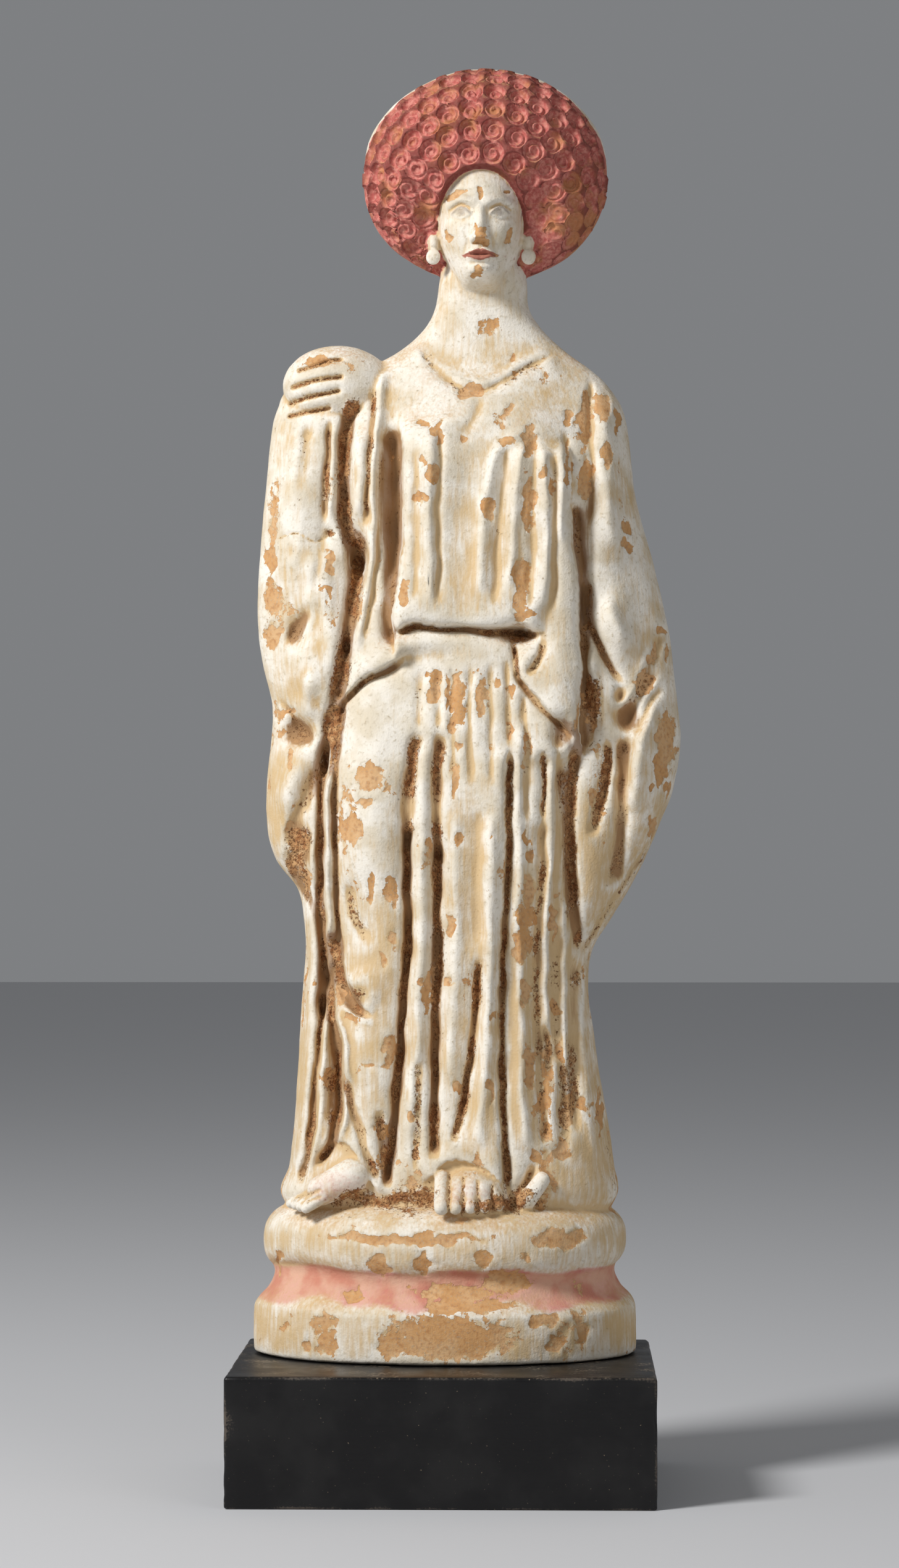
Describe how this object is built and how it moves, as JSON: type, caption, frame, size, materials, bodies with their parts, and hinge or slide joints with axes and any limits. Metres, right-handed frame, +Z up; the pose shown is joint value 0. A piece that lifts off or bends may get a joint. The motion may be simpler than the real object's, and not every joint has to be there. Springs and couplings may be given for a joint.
{
  "type": "terracotta statuette",
  "caption": "Standing draped woman with a crown of curls, moulded in fired clay on a round base, set on a black wooden block.",
  "frame": {"origin": "middle of the wooden base's underside", "axes": "+Z up; the figure faces -Y; +X is to the right as one faces the figure"},
  "size_m": [0.1233, 0.095, 0.3961],
  "materials": {
    "terracotta": "fired clay with worn white slip, pink paint and earth in the folds",
    "black_wood": "black paint, satin, slightly rubbed edges"
  },
  "bodies": {
    "root": {"statuette": "terracotta", "wooden_base": "black_wood"}
  },
  "joints": []
}
